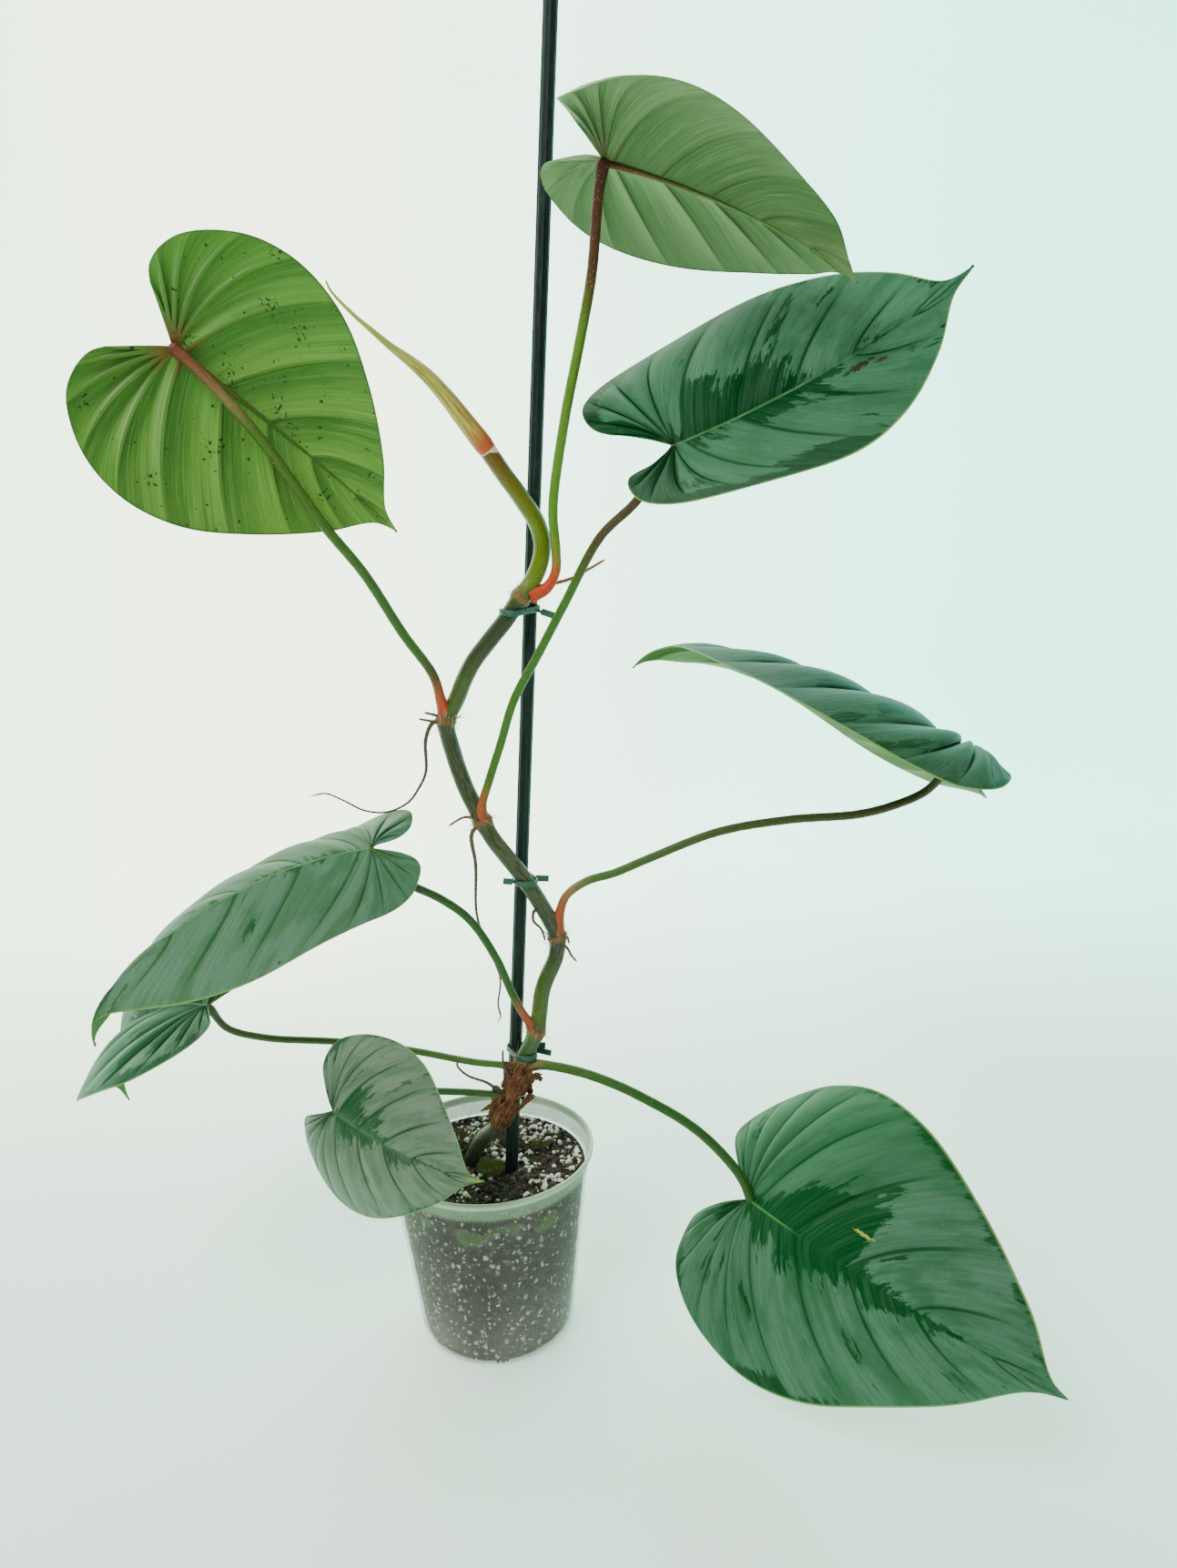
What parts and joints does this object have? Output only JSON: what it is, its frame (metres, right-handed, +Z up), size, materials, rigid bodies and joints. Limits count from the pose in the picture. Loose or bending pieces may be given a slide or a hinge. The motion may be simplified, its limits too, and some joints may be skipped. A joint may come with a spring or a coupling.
{
  "type": "potted philodendron sodiroi",
  "caption": "Climbing philodendron with silvery heart-shaped leaves on long stalks, tied to a slim dark stake, in a clear round nursery pot of soil.",
  "frame": {"origin": "middle of the pot's foot, on the ground", "axes": "+Z up, towards the top of the stake; the front of the plant faces -Y"},
  "size_m": [0.5095, 0.27, 0.7598],
  "materials": {
    "pot_plastic": "milky clear plastic with a green tinge under the rim",
    "potting_soil": "dark moist peat with white perlite",
    "stake_plastic": "dark green plastic coat with fine lengthwise ribs",
    "stem_green": "satin green stem with tan leaf scars",
    "leaf_green": "silver-green satin upper side with darker blotches, lighter green underside",
    "spear_green": "yellow-green with a red-orange base",
    "dry_sheath": "dry, papery and brown",
    "tie_green": "dark green flat ribbon"
  },
  "bodies": {
    "root": {"pot": "pot_plastic", "soil": "potting_soil", "stake": "stake_plastic", "main_stem": "stem_green", "new_leaf_spear": "spear_green", "leaf_1": "leaf_green", "leaf_2": "leaf_green", "leaf_3": "leaf_green", "leaf_4": "leaf_green", "leaf_5": "leaf_green", "leaf_6": "leaf_green", "leaf_7": "leaf_green", "leaf_8": "leaf_green", "tie_upper": "tie_green", "tie_middle": "tie_green", "tie_lower": "tie_green", "dry_sheath_lower": "dry_sheath", "dry_sheath_middle": "dry_sheath"}
  },
  "joints": []
}
